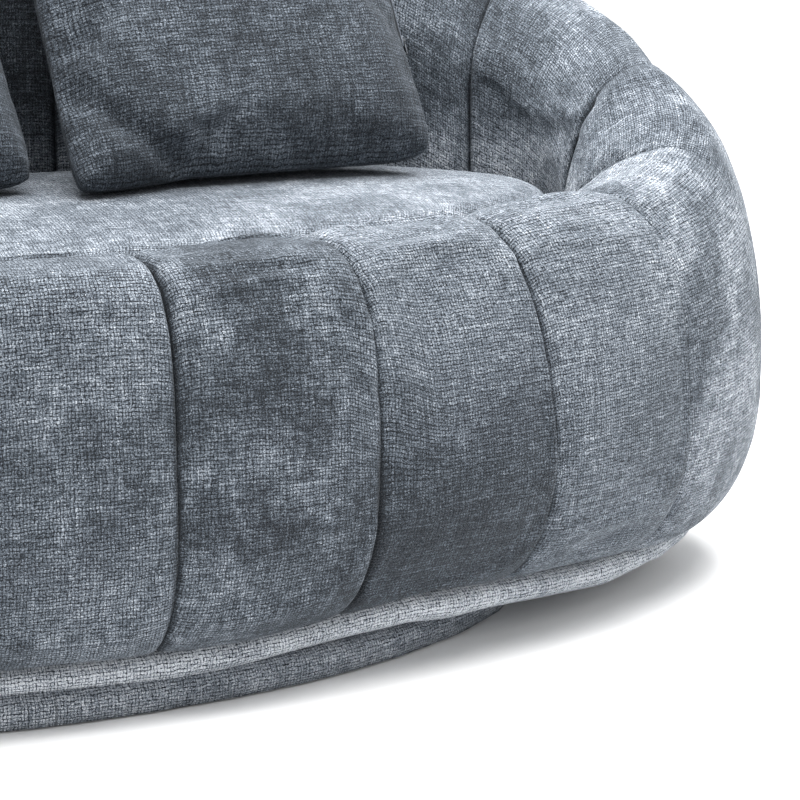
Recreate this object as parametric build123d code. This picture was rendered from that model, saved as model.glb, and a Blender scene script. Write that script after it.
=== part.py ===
"""A two-seat bean bag chair: a nest of stuffed lobes round a crowned seat, with two loose pillows.

Millimetres, +Z up. The origin is on the floor under the middle of the chair, the front faces -Y,
and +X is the sitter's left, which is the right side as seen from the front.
"""

from build123d import *
from math import atan2, cos, degrees, pi, radians, sin
import os

# The ring of lobes in plan: two half ellipses, front and rear, that share one centre
RING_CENTRE_Y = -58.5
RING_HALF_WIDTH = 850.0
RING_FRONT = 400.0
RING_REAR = 520.0
WELL_HALF_WIDTH = 615.0
WELL_FRONT = 270.0
WELL_REAR = 190.0
# The seams fan out from the well's two ends: angle round the outer outline, angle round the well
SEAM_FAN = (
    (0.0, 0.0),
    (30.0, 33.0),
    (51.0, 58.0),
    (70.0, 66.0),
    (97.0, 76.0),
    (117.0, 112.0),
    (140.0, 140.0),
    (180.0, 180.0),
)

# Lobes
LOBES_PER_SIDE = 10
SEAM_GAP = 1.5
LOBE_BOTTOM = 64.0
UNDERSIDE_TUCK = 84.0
FRONT_HEIGHT = 430.0
BACK_HEIGHT = 790.0
RISE_START = 3.4
RISE_END = 9.5
FRONT_WIDEST = 205.0
WIDEST_RISE = 0.2
INNER_SHOULDER = 130.0
SEAM_PULL_OUT = 16.0
SEAM_PULL_TOP = 18.0
SEAM_PULL_IN = 14.0
FRONT_CREST_SHARE = 0.72
BACK_CREST_SHARE = 0.46

# Fabric walls and the fill inside them
COVER_WALL = 2.5
FILL_CLEARANCE = 1.0
FILL_END_INSET = 12.0

# Seat
SEAT_GAP = 4.0
SEAT_BOTTOM = 38.0
SEAT_EDGE = 382.0
SEAT_CROWN = ((8.0, 0.985), (28.0, 0.88), (42.0, 0.66), (49.0, 0.34))

# Lip band under the lobes, base roll and floor panel
LIP_TUCK = 80.0
LIP_BOTTOM = 35.0
LIP_TOP = 62.0
LIP_ROUND = 11.0
LIP_INNER_GAP = 6.0
BASE_HALF_WIDTH = 575.0
BASE_FRONT = 330.0
BASE_REAR = 400.0
BASE_CORNER_RADIUS = 260.0
BASE_BOTTOM = 3.0
BASE_TOP = 34.0
BASE_ROUND = 7.0
FLOOR_PANEL_INSET = 12.0

# Zips: tape and chain lie on a wall, the slider rides on the chain, the pull swings on the slider
CHAIN_HALF = 1.1
CHAIN_THICK = 1.0
TAPE_HALF = 6.5
TAPE_THICK = 0.7
TAPE_STANDOFF = 0.2
SLIDER_SIZE = (9.0, 7.0, 2.6)
SLIDER_LIFT = 1.4
POST_INNER = 2.3
POST_THICK = 1.2
POST_LENGTH = 3.0
PIN_RADIUS = 0.7
PIN_HEIGHT = 5.4
PULL_CLEARANCE = 0.06
PULL_EYE_RADIUS = 1.3
PULL_HALF_WIDTH = 2.1
PULL_LENGTH = 16.0
PULL_THICK = 1.2
BASE_ZIP_HALF_ANGLE = 28.0
BASE_ZIP_HEIGHT = 19.0
BASE_SLIDER_ANGLE = 26.5

# Pillows
PILLOW_SIDE = 400.0
PILLOW_PULL = 8.0
PILLOW_CORNER = 16.0
PILLOW_RIM = 7.0
PILLOW_CROWN = ((30.0, 0.86), (52.0, 0.60), (64.0, 0.25))
PILLOW_ZIP_LENGTH = 150.0
PILLOW_ZIP_STANDOFF = 1.3
PILLOWS = {
    "right": {"foot": (288.0, -102.0, 437.0), "turn": 8.0, "lean": 30.0, "zip_edge": 1},
    "left": {"foot": (-122.0, -112.0, 437.0), "turn": 8.0, "lean": 34.0, "zip_edge": -1},
}

UP = Vector(0, 0, 1)


def ring_point(angle, half_width, front, rear):
    """Point of a two-part ellipse at an angle round the ring: 0 is the front middle, pi the rear."""
    depth = front if cos(angle) >= 0 else rear
    return Vector(half_width * sin(angle), RING_CENTRE_Y - depth * cos(angle), 0)


def ring_table(steps=1800):
    """Length along the outer outline against ring angle, from the front middle to the rear."""
    rows = [(0.0, 0.0)]
    last = ring_point(0, RING_HALF_WIDTH, RING_FRONT, RING_REAR)
    for step in range(1, steps + 1):
        angle = pi * step / steps
        here = ring_point(angle, RING_HALF_WIDTH, RING_FRONT, RING_REAR)
        rows.append((rows[-1][0] + (here - last).length, angle))
        last = here
    return rows


RING_TABLE = ring_table()
LOBE_WIDTH = RING_TABLE[-1][0] / (LOBES_PER_SIDE + 0.5)


def ring_angle(length):
    """Ring angle at a length along the outer outline, negative on the left side."""
    wanted = abs(length)
    for (low, start), (high, end) in zip(RING_TABLE, RING_TABLE[1:]):
        if wanted <= high:
            found = start + (end - start) * (wanted - low) / (high - low)
            return found if length >= 0 else -found
    return pi if length >= 0 else -pi


def well_angle(angle):
    """The angle round the well that the seam at an angle round the outer outline runs in to."""
    wanted = abs(degrees(angle))
    for (low, start), (high, end) in zip(SEAM_FAN, SEAM_FAN[1:]):
        if wanted <= high:
            found = radians(start + (end - start) * (wanted - low) / (high - low))
            return found if angle >= 0 else -found
    return angle


def crest_height(place):
    """Height of the ring's top, where place counts lobes from the front middle."""
    share = min(max((abs(place) - RISE_START) / (RISE_END - RISE_START), 0.0), 1.0)
    smooth = share * share * (3 - 2 * share)
    return FRONT_HEIGHT + (BACK_HEIGHT - FRONT_HEIGHT) * smooth


def lobe_section(place, pulled, inset):
    """One lobe's outline in the upright plane that crosses the ring at a place.

    pulled is 1 at a sewn seam, where the fabric is drawn in, and 0 in the middle of a lobe.
    """
    angle = ring_angle(place * LOBE_WIDTH)
    outer = ring_point(angle, RING_HALF_WIDTH, RING_FRONT, RING_REAR)
    inner = ring_point(well_angle(angle), WELL_HALF_WIDTH, WELL_FRONT, WELL_REAR)
    inward = (inner - outer).normalized()
    thickness = (inner - outer).length
    crest_share = BACK_CREST_SHARE
    if cos(angle) > 0:
        crest_share += (FRONT_CREST_SHARE - BACK_CREST_SHARE) * cos(angle) ** 2

    left = SEAM_PULL_OUT * pulled + inset
    right = thickness - SEAM_PULL_IN * pulled - inset
    crest = thickness * crest_share
    bottom = LOBE_BOTTOM + inset
    top = crest_height(place) - SEAM_PULL_TOP * pulled - inset
    widest = FRONT_WIDEST + WIDEST_RISE * (crest_height(place) - FRONT_HEIGHT)
    shoulder = top - min(INNER_SHOULDER, 1.1 * (right - crest))
    tuck = UNDERSIDE_TUCK + inset

    outline = Wire(
        [
            EllipticalCenterArc((tuck, widest), tuck - left, widest - bottom, 270, arc_size=-90),
            EllipticalCenterArc((crest, widest), crest - left, top - widest, 180, arc_size=-90),
            EllipticalCenterArc((crest, shoulder), right - crest, top - shoulder, 90, arc_size=-90),
            Line((right, shoulder), (right, bottom)),
            Line((right, bottom), (tuck, bottom)),
        ]
    )
    return Plane(origin=outer, x_dir=inward, z_dir=inward.cross(UP)).location * outline


def lobe_solid(index, inset, end_inset):
    """A stuffed lobe between two seams, drawn in by an inset all over and at its two ends."""
    half = 0.5 - (SEAM_GAP / 2 + end_inset) / LOBE_WIDTH
    pulled_more = 1 + end_inset / SEAM_PULL_OUT
    sections = [
        lobe_section(index - half, pulled_more, inset),
        lobe_section(index, 0, inset),
        lobe_section(index + half, pulled_more, inset),
    ]
    return Solid.make_loft(sections)


def lobe_name(index):
    """front_lobe_centre, then front, arm and back lobes numbered from the front on each side."""
    if index == 0:
        return "front_lobe_centre"
    side = "right" if index > 0 else "left"
    number = abs(index)
    if number <= 3:
        return f"front_lobe_{side}_{number}"
    if number <= 6:
        return f"arm_lobe_{side}_{number - 3}"
    return f"back_lobe_{side}_{number - 6}"


def lobe_cover(index):
    """The sewn cover of one lobe: a closed fabric wall."""
    return lobe_solid(index, 0, 0) - lobe_solid(index, COVER_WALL, COVER_WALL)


def lobe_fill(index):
    """The stuffing inside one lobe's cover."""
    return lobe_solid(index, COVER_WALL + FILL_CLEARANCE, FILL_END_INSET)


def oval(half_width, front, rear, height):
    """Closed two-part ellipse at a height, centred on the ring."""
    outline = Wire(
        [
            EllipticalCenterArc((0, RING_CENTRE_Y), half_width, front, 180, arc_size=180),
            EllipticalCenterArc((0, RING_CENTRE_Y), half_width, rear, 0, arc_size=180),
        ]
    )
    return Pos(0, 0, height) * outline


def oval_prism(half_width, front, rear, low, high):
    """Upright oval block."""
    return extrude(Face(oval(half_width, front, rear, low)), amount=high - low, dir=(0, 0, 1))


def seat_solid(inset):
    """The seat: an oval block in the well with a crowned top."""
    gap = SEAT_GAP + inset
    size = (WELL_HALF_WIDTH - gap, WELL_FRONT - gap, WELL_REAR - gap)
    edge = SEAT_EDGE - inset
    block = oval_prism(*size, SEAT_BOTTOM + inset, edge)
    rings = [oval(*size, edge)]
    for rise, share in SEAT_CROWN:
        rings.append(oval(*(length * share for length in size), edge + rise))
    return block + Solid.make_loft(rings, ruled=True)


def lip_band():
    """The folded fabric band between the lobes and the base roll."""
    band = oval_prism(
        RING_HALF_WIDTH - LIP_TUCK, RING_FRONT - LIP_TUCK, RING_REAR - LIP_TUCK, LIP_BOTTOM, LIP_TOP
    )
    outer_edges = band.edges().filter_by(GeomType.ELLIPSE)
    band = fillet(outer_edges, LIP_ROUND)
    return band - oval_prism(
        WELL_HALF_WIDTH + LIP_INNER_GAP,
        WELL_FRONT + LIP_INNER_GAP,
        WELL_REAR + LIP_INNER_GAP,
        LIP_BOTTOM - 1,
        LIP_TOP + 1,
    )


def rear_arc_centre():
    """Distance that the base's rear arc is centred in front of the ring's centre, and its radius."""
    rise = BASE_REAR - BASE_CORNER_RADIUS
    run = BASE_HALF_WIDTH - BASE_CORNER_RADIUS
    offset = (run * run - rise * rise) / (2 * rise)
    return offset, BASE_REAR + offset


REAR_OFFSET, REAR_RADIUS = rear_arc_centre()
REAR_CENTRE_Y = RING_CENTRE_Y - REAR_OFFSET


def base_prism(inset, low, high):
    """The base's plan: a half ellipse in front and three tangent arcs behind, as an upright block."""
    half_width = BASE_HALF_WIDTH - inset
    corner = BASE_CORNER_RADIUS - inset
    corner_x = BASE_HALF_WIDTH - BASE_CORNER_RADIUS
    swing = degrees(atan2(REAR_OFFSET, corner_x))
    outline = Wire(
        [
            EllipticalCenterArc((0, RING_CENTRE_Y), half_width, BASE_FRONT - inset, 180, arc_size=180),
            CenterArc((corner_x, RING_CENTRE_Y), corner, 0, swing),
            CenterArc((0, REAR_CENTRE_Y), REAR_RADIUS - inset, swing, 180 - 2 * swing),
            CenterArc((-corner_x, RING_CENTRE_Y), corner, 180 - swing, swing),
        ]
    )
    return extrude(Face(Pos(0, 0, low) * outline), amount=high - low, dir=(0, 0, 1))


def base_roll(inset):
    """The rounded pad under the chair."""
    low, high = BASE_BOTTOM + inset, BASE_TOP - inset
    block = base_prism(inset, low, high)
    rims = block.edges().filter_by(Plane.XY)
    return fillet(rims, BASE_ROUND - inset)


def zip_slider():
    """Slider body with two posts and the pin that its pull hangs on, lying along +X, facing +Z."""
    length, width, height = SLIDER_SIZE
    body = Pos(0, 0, SLIDER_LIFT + height / 2) * Box(length, width, height)
    body = fillet(body.edges().filter_by(Axis.Z), 2.0)
    body_top = SLIDER_LIFT + height
    post_top = PIN_HEIGHT + PIN_RADIUS + 0.5
    post_y = POST_INNER + POST_THICK / 2
    for side in (-1, 1):
        post = Box(POST_LENGTH, POST_THICK, post_top - body_top + 0.4)
        body += Pos(0, side * post_y, (post_top + body_top - 0.4) / 2) * post
    pin = Pos(0, 0, PIN_HEIGHT) * Rot(90, 0, 0) * Cylinder(PIN_RADIUS, 2 * post_y)
    return body + pin


def zip_pull():
    """Pull tab with an eye round the slider's pin, lying along +X."""
    plate = Pos(PULL_LENGTH / 2, 0, PIN_HEIGHT) * Box(PULL_LENGTH, 2 * PULL_HALF_WIDTH, PULL_THICK)
    plate = fillet(plate.edges().filter_by(Axis.Z).sort_by(Axis.X)[-2:], 1.9)
    eye = Pos(0, 0, PIN_HEIGHT) * Rot(90, 0, 0) * Cylinder(PULL_EYE_RADIUS, 2 * PULL_HALF_WIDTH)
    bore = Pos(0, 0, PIN_HEIGHT) * Rot(90, 0, 0) * Cylinder(PIN_RADIUS + PULL_CLEARANCE, 10)
    hole = Pos(PULL_LENGTH - 3.0, 0, PIN_HEIGHT) * Cylinder(1.0, 4)
    return plate + eye - bore - hole


def straight_zip(length):
    """Tape halves and chain of a straight zip along X, on a wall that faces +Z."""
    tape_width = TAPE_HALF - CHAIN_HALF - 0.1
    tape = Box(length, tape_width, TAPE_THICK)
    tape_y = TAPE_HALF - tape_width / 2
    tape_z = TAPE_STANDOFF + TAPE_THICK / 2
    tapes = Compound([Pos(0, side * tape_y, tape_z) * tape for side in (-1, 1)])
    chain = Pos(0, 0, TAPE_STANDOFF + CHAIN_THICK / 2) * Box(length - 6, 2 * CHAIN_HALF, CHAIN_THICK)
    return tapes, chain


def rear_band(low, high, thick, half_angle):
    """A curved strip that stands on the base's rear wall."""
    start, size = 90 - half_angle, 2 * half_angle
    inner = REAR_RADIUS + TAPE_STANDOFF
    outer = inner + thick
    near = CenterArc((0, REAR_CENTRE_Y), inner, start, size)
    far = CenterArc((0, REAR_CENTRE_Y), outer, start, size)
    outline = Wire([near, Line(near @ 1, far @ 1), far, Line(far @ 0, near @ 0)])
    return extrude(Face(Pos(0, 0, low) * outline), amount=high - low, dir=(0, 0, 1))


def rear_slider_place():
    """Where the base zip's slider rests: at the closed end of the curved tape."""
    turn = radians(BASE_SLIDER_ANGLE)
    outward = Vector(sin(turn), cos(turn), 0)
    along = Vector(cos(turn), -sin(turn), 0)
    origin = Vector(0, REAR_CENTRE_Y, BASE_ZIP_HEIGHT) + outward * REAR_RADIUS
    return Plane(origin=origin, x_dir=along, z_dir=outward)


def pillow_outline(side, height):
    """A square with rounded corners whose sides pull in between them."""
    half = side / 2
    pull = PILLOW_PULL * side / PILLOW_SIDE
    corners = [(-half, -half), (half, -half), (half, half), (-half, half)]
    sides = []
    for (x0, y0), (x1, y1) in zip(corners, corners[1:] + corners[:1]):
        middle = ((x0 + x1) / 2, (y0 + y1) / 2)
        shrink = (half - pull) / half
        sides.append(ThreePointArc((x0, y0), (middle[0] * shrink, middle[1] * shrink), (x1, y1)))
    square = Face(Wire(sides))
    rounded = fillet(square.vertices(), PILLOW_CORNER * side / PILLOW_SIDE)
    return Pos(0, half, height) * Pos(0, (PILLOW_SIDE - side) / 2, 0) * rounded.face().outer_wire()


def pillow_solid(inset):
    """A crowned square pillow, its foot at the origin, standing along +Y and facing +Z."""
    side = PILLOW_SIDE - 2 * inset
    rim = PILLOW_RIM - inset
    rings = [pillow_outline(side, rim)]
    for rise, share in PILLOW_CROWN:
        rings.append(pillow_outline(side * share, rise - inset))
    crown = Solid.make_loft(rings, ruled=True)
    slab = extrude(Face(pillow_outline(side, -rim)), amount=2 * rim, dir=(0, 0, 1))
    return slab + crown + mirror(crown, about=Plane.XY)


def pillow_place(foot, turn, tilt):
    """The plane that a pillow stands in: leaning back, and turned about the upright."""
    lean, turned = radians(tilt), radians(turn)
    across = Vector(cos(turned), sin(turned), 0)
    face = Vector(sin(turned) * cos(lean), -cos(turned) * cos(lean), sin(lean))
    return Plane(origin=foot, x_dir=across, z_dir=face)


def pillow_zip_place(edge):
    """The zip runs down one edge, 1 for right or -1 for left: its middle in the pillow's frame."""
    out = PILLOW_SIDE / 2 - PILLOW_PULL + PILLOW_ZIP_STANDOFF
    return Plane(origin=(edge * out, PILLOW_SIDE / 2, 0), x_dir=(0, -1, 0), z_dir=(edge, 0, 0))


def write(shape, name):
    export_step(shape, f"parts/{name}.step")


def write_ring():
    """Every lobe's cover, and the fills grouped by the stretch of ring that they stuff."""
    fills = {}
    for index in range(-LOBES_PER_SIDE, LOBES_PER_SIDE + 1):
        name = lobe_name(index)
        write(lobe_cover(index), name)
        group = name.split("_")[0] + ("" if abs(index) <= 3 else "_" + name.split("_")[2])
        fills.setdefault(group, []).append(lobe_fill(index))
    for group, solids in fills.items():
        write(Compound(solids), f"lobe_fill_{group}")


def write_body():
    """Seat, lip band, base roll and floor panel."""
    write(seat_solid(0) - seat_solid(COVER_WALL), "seat_cover")
    write(seat_solid(COVER_WALL + FILL_CLEARANCE), "seat_core")
    write(lip_band(), "lip_band")
    write(base_roll(0) - base_roll(COVER_WALL), "base_cover")
    write(base_roll(COVER_WALL + FILL_CLEARANCE), "base_fill")
    write(base_prism(FLOOR_PANEL_INSET, 0, BASE_BOTTOM), "floor_panel")


def write_base_zip():
    """The curved zip on the base's rear wall."""
    middle = BASE_ZIP_HEIGHT
    tapes = [
        rear_band(middle - TAPE_HALF, middle - CHAIN_HALF - 0.1, TAPE_THICK, BASE_ZIP_HALF_ANGLE),
        rear_band(middle + CHAIN_HALF + 0.1, middle + TAPE_HALF, TAPE_THICK, BASE_ZIP_HALF_ANGLE),
    ]
    chain = rear_band(middle - CHAIN_HALF, middle + CHAIN_HALF, CHAIN_THICK, BASE_ZIP_HALF_ANGLE - 0.4)
    place = rear_slider_place()
    write(Compound(tapes), "base_zip_tape")
    write(chain, "base_zip_chain")
    write(place.location * zip_slider(), "base_zip_slider")
    write(place.location * zip_pull(), "base_zip_pull")
    pin = place.from_local_coords((0, 0, PIN_HEIGHT))
    print("base zip arc centre y", round(REAR_CENTRE_Y, 3), "radius", round(REAR_RADIUS, 3))
    print("base zip pin", tuple(round(value, 3) for value in pin))


def write_pillow(side, foot, turn, lean, zip_edge):
    """One pillow: cover, insert and the zip down its outer edge."""
    stand = pillow_place(foot, turn, lean).location
    zip_stand = stand * pillow_zip_place(zip_edge).location
    closed = Pos(PILLOW_ZIP_LENGTH / 2 - 8, 0, 0)
    tapes, chain = straight_zip(PILLOW_ZIP_LENGTH)
    name = f"pillow_{side}"
    write(stand * (pillow_solid(0) - pillow_solid(COVER_WALL)), f"{name}_cover")
    write(stand * pillow_solid(COVER_WALL + FILL_CLEARANCE), f"{name}_insert")
    write(zip_stand * tapes, f"{name}_zip_tape")
    write(zip_stand * chain, f"{name}_zip_chain")
    write(zip_stand * closed * zip_slider(), f"{name}_zip_slider")
    write(zip_stand * closed * zip_pull(), f"{name}_zip_pull")
    zip_plane = Plane(zip_stand * closed)
    pin = zip_plane.from_local_coords((0, 0, PIN_HEIGHT))
    print(name, "pin", tuple(round(value, 3) for value in pin))
    print(name, "zip opens along", tuple(round(-value, 5) for value in zip_plane.x_dir))
    print(name, "pull turns about", tuple(round(-value, 5) for value in zip_plane.y_dir))


os.makedirs("parts", exist_ok=True)
write_ring()
write_body()
write_base_zip()
for side, stance in PILLOWS.items():
    write_pillow(side, **stance)
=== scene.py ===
"""Looks of the two-seat bean bag chair: chenille lobes, crowned seat, base roll, two loose pillows and zips.

Metres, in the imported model's frame: the front faces -Y, +X is the right side as seen from the front.
"""

import math

import bmesh
import bpy
import numpy as np
from mathutils import Matrix, Vector


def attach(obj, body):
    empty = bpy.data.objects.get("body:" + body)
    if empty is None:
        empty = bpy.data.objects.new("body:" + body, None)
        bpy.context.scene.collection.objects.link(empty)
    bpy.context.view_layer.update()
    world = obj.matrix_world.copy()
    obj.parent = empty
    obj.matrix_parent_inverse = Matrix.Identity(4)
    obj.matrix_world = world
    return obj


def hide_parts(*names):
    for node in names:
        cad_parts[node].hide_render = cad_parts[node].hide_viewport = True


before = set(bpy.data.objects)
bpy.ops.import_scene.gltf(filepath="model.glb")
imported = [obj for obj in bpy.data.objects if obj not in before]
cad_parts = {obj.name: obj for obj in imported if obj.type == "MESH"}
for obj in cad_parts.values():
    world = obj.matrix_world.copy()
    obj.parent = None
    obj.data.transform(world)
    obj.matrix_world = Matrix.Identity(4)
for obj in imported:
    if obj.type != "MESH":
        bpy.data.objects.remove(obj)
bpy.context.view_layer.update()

# ---------------------------------------------------------------- sizes repeated from the part
RING_Y = -0.0585
RING = (0.850, 0.400, 0.520)
WELL = (0.615, 0.270, 0.190)
SEAM_FAN = ((0, 0), (30, 33), (51, 58), (70, 66), (97, 76), (117, 112), (140, 140), (180, 180))
LOBES_PER_SIDE = 10
LOBE_BOTTOM = 0.064
UNDERSIDE_TUCK = 0.084
FRONT_HEIGHT = 0.430
BACK_HEIGHT = 0.790
RISE_START = 3.4
RISE_END = 9.5
FRONT_WIDEST = 0.205
WIDEST_RISE = 0.2
INNER_SHOULDER = 0.130
FRONT_CREST_SHARE = 0.72
BACK_CREST_SHARE = 0.46
LIP_TUCK = 0.080
BASE_HALF_WIDTH = 0.575
BASE_FRONT = 0.330
BASE_REAR = 0.400
BASE_CORNER = 0.260
BASE_BOTTOM = 0.003
BASE_TOP = 0.034
BASE_ZIP_HEIGHT = 0.019
PILLOW_SIDE = 0.400
PILLOW_PULL = 0.008
PILLOWS = {
    "right": {"foot": (0.288, -0.102, 0.437), "turn": 8.0, "lean": 30.0},
    "left": {"foot": (-0.122, -0.112, 0.437), "turn": 8.0, "lean": 34.0},
}
PILLOW_ZIP_SIDES = {"right": 1, "left": -1}
PILLOW_ZIP_LENGTH = 0.150
PILLOW_ZIP_EDGE = PILLOW_SIDE / 2 - PILLOW_PULL + 0.0013

# ---------------------------------------------------------------- looks of the ring
SEAM_HALF_GAP = 0.0006
SEAM_SHADE_WIDTH = 0.010
PULL_OUT = 0.012
PULL_TOP = 0.014
PULL_IN = 0.018
BULGE_POWER = 2.8
# how square the top of the front lobes is, by place: 2 is a plain ellipse
CREST_SQUARE = ((0, 3.6), (1.3, 3.2), (1.8, 2.05), (3.5, 2.1), (5.0, 2.2), (11, 2.1))
# the lobes' and the lip's lower edges rise and fall a little round the front
LOW_LINE = ((0, -0.007), (0.9, -0.006), (2.0, 0.008), (2.7, 0.004), (3.6, -0.003), (6, 0.0), (11, 0.0))
STATIONS = 17
SECTION_COUNTS = (12, 36, 20, 12, 6)
# the share of the puckers' reach across half a lobe, their depth, and the unevenness of the stuffing
PUCKER_REACH = 0.62
PUCKER_DEPTH = 0.0021
STUFFING_HILLS = 0.0032
LOBE_CLOTH = {"pressure": 2.0, "frames": 16, "stiffness": 12.0, "grow": 0.015}
LOBE_CLOTH_MOVE = 0.0035
PILLOW_CLOTH = {"pressure": 5.0, "frames": 22, "stiffness": 14.0, "grow": 0.05}
PILLOW_CLOTH_MOVE = 0.030


# ---------------------------------------------------------------- small helpers
def smooth_noise(seed, count, knots):
    """A closed smooth random line: count values round a loop, with a given number of knots."""
    rng = np.random.default_rng(seed)
    values = rng.uniform(-1, 1, knots)
    place = np.arange(count) * knots / count
    low = np.floor(place).astype(int)
    part = place - low
    part = part * part * (3 - 2 * part)
    return values[low % knots] * (1 - part) + values[(low + 1) % knots] * part


def hills(points, seed, scale, octaves=3):
    """Smooth random heights, about -1 to 1, at points in space: a sum of slanted sine waves."""
    rng = np.random.default_rng(seed)
    total = np.zeros(points.shape[:-1])
    for octave in range(octaves):
        for _ in range(4):
            direction = rng.normal(size=3)
            direction *= scale * 2**octave / np.linalg.norm(direction)
            total += np.sin(points @ direction + rng.uniform(0, 2 * math.pi)) / (4 * 1.6**octave)
    return total


def make_object(name, points, faces, weave=None, smooth=True, seam_shade=None):
    """A mesh object from points and faces, with the cloth coordinates and the painted seam shade that the
    fabric reads.
    """
    mesh = bpy.data.meshes.new(name)
    mesh.from_pydata([tuple(p) for p in points], [], [tuple(f) for f in faces])
    mesh.validate()
    if smooth:
        mesh.polygons.foreach_set("use_smooth", [True] * len(mesh.polygons))
    if weave is not None:
        layer = mesh.attributes.new("weave", "FLOAT_VECTOR", "POINT")
        layer.data.foreach_set("vector", np.asarray(weave, np.float32).ravel())
    # painted shade beside the seams, a mask from 0 to 1
    if seam_shade is not None:
        layer = mesh.attributes.new("seam_shade", "FLOAT", "POINT")
        layer.data.foreach_set("value", np.asarray(seam_shade, np.float32))
    mesh.update()
    made = bpy.data.objects.new(name, mesh)
    bpy.context.scene.collection.objects.link(made)
    return made


def grid_faces(rows, columns, wrap_columns, offset=0):
    """Quads of a grid whose points are stored row by row."""
    faces = []
    last = columns if wrap_columns else columns - 1
    for row in range(rows - 1):
        low = offset + row * columns
        high = low + columns
        for column in range(last):
            after = (column + 1) % columns
            faces.append((low + column, low + after, high + after, high + column))
    return faces


def grid_normals(points, wrap_columns):
    """Unit normals of a grid of points, by differences along its rows and columns."""
    along = np.gradient(points, axis=0)
    if wrap_columns:
        across = np.roll(points, -1, axis=1) - np.roll(points, 1, axis=1)
    else:
        across = np.gradient(points, axis=1)
    normals = np.cross(along, across)
    length = np.linalg.norm(normals, axis=2, keepdims=True)
    return normals / np.maximum(length, 1e-9)


def refined(grid, wrap_columns=True):
    """A grid of twice the density, its new points on smooth curves through the old ones."""
    for axis, wraps in ((0, False), (1, wrap_columns)):
        if wraps:
            before, after, far = (np.roll(grid, shift, axis) for shift in (1, -1, -2))
            between = (9 * (grid + after) - before - far) / 16
        else:
            ends = np.take(grid, [0], axis), np.take(grid, [-1], axis)
            padded = np.concatenate([ends[0], grid, ends[1]], axis=axis)
            count = grid.shape[axis]
            pick = [np.take(padded, range(start, start + count - 1), axis) for start in range(3)]
            far = np.take(padded, range(3, 3 + count - 1), axis)
            between = (9 * (pick[1] + pick[2]) - pick[0] - far) / 16
        shape = list(grid.shape)
        shape[axis] = grid.shape[axis] + between.shape[axis]
        finer = np.empty(shape)
        even = [slice(None)] * grid.ndim
        odd = [slice(None)] * grid.ndim
        even[axis], odd[axis] = slice(0, None, 2), slice(1, None, 2)
        finer[tuple(even)] = grid
        finer[tuple(odd)] = between
        grid = finer
    return grid


def outward_faces(made):
    """Turns every face of a closed mesh outward."""
    work = bmesh.new()
    work.from_mesh(made.data)
    bmesh.ops.recalc_face_normals(work, faces=work.faces)
    work.to_mesh(made.data)
    work.free()
    made.data.update()
    return made


def run_cloth(points, faces, pins, pressure, frames, stiffness, grow):
    """Blender's cloth, blown up by pressure with some points held, and the points it ends with."""
    made = make_object("cloth_work", points, faces)
    held = made.vertex_groups.new(name="held")
    held.add([int(i) for i in pins], 1.0, "REPLACE")
    cloth = made.modifiers.new("cloth", "CLOTH")
    settings = cloth.settings
    settings.quality = 5
    settings.mass = 0.3
    settings.tension_stiffness = stiffness
    settings.compression_stiffness = stiffness
    settings.shear_stiffness = stiffness / 3
    settings.bending_stiffness = 0.5
    settings.air_damping = 6
    settings.use_pressure = True
    settings.uniform_pressure_force = pressure
    settings.shrink_min = -grow
    settings.effector_weights.gravity = 0
    if len(pins):
        settings.vertex_group_mass = "held"
    cloth.collision_settings.use_collision = False
    cloth.collision_settings.use_self_collision = False
    cloth.point_cache.frame_start = 1
    cloth.point_cache.frame_end = frames
    scene = bpy.context.scene
    for number in range(1, frames + 1):
        scene.frame_set(number)
    graph = bpy.context.evaluated_depsgraph_get()
    evaluated = made.evaluated_get(graph)
    result = np.zeros(len(points) * 3, np.float32)
    evaluated.data.vertices.foreach_get("co", result)
    bpy.data.objects.remove(made, do_unlink=True)
    scene.frame_set(1)
    return result.reshape(-1, 3).astype(float)


def capped(before, after, most):
    """Points moved towards their simulated places, by no more than a length."""
    move = after - before
    length = np.linalg.norm(move, axis=-1, keepdims=True)
    return before + move * np.minimum(1.0, most / np.maximum(length, 1e-9))


# ---------------------------------------------------------------- the ring in plan
def ring_point(angle, size):
    half_width, front, rear = size
    depth = np.where(np.cos(angle) >= 0, front, rear)
    return np.stack([half_width * np.sin(angle), RING_Y - depth * np.cos(angle), 0 * angle], axis=-1)


RING_ANGLES = np.linspace(0, math.pi, 1801)
RING_STEPS = np.linalg.norm(np.diff(ring_point(RING_ANGLES, RING), axis=0), axis=1)
RING_LENGTHS = np.concatenate([[0.0], np.cumsum(RING_STEPS)])
LOBE_WIDTH = RING_LENGTHS[-1] / (LOBES_PER_SIDE + 0.5)


def ring_angle(place):
    return math.copysign(np.interp(abs(place) * LOBE_WIDTH, RING_LENGTHS, RING_ANGLES), place)


def well_angle(angle):
    """The angle round the well that a seam runs in to."""
    found = np.interp(abs(math.degrees(angle)), *zip(*SEAM_FAN))
    return math.copysign(math.radians(found), angle)


def by_place(table, place):
    return float(np.interp(abs(place), *zip(*table)))


def crest_height(place):
    share = min(max((abs(place) - RISE_START) / (RISE_END - RISE_START), 0.0), 1.0)
    return FRONT_HEIGHT + (BACK_HEIGHT - FRONT_HEIGHT) * share * share * (3 - 2 * share)


def quarter(centre_x, centre_z, reach_x, reach_z, start, turn, count, power=2.0):
    """Points of a quarter of an ellipse, or of a squarer curve, without its last one."""
    angles = np.radians(start + turn * np.arange(count) / count)
    wide, high = np.cos(angles), np.sin(angles)
    wide = np.sign(wide) * np.abs(wide) ** (2 / power)
    high = np.sign(high) * np.abs(high) ** (2 / power)
    return np.stack([centre_x + reach_x * wide, centre_z + reach_z * high], axis=1)


def straight(start, end, count):
    share = np.arange(count)[:, None] / count
    return np.array(start) * (1 - share) + np.array(end) * share


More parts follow.
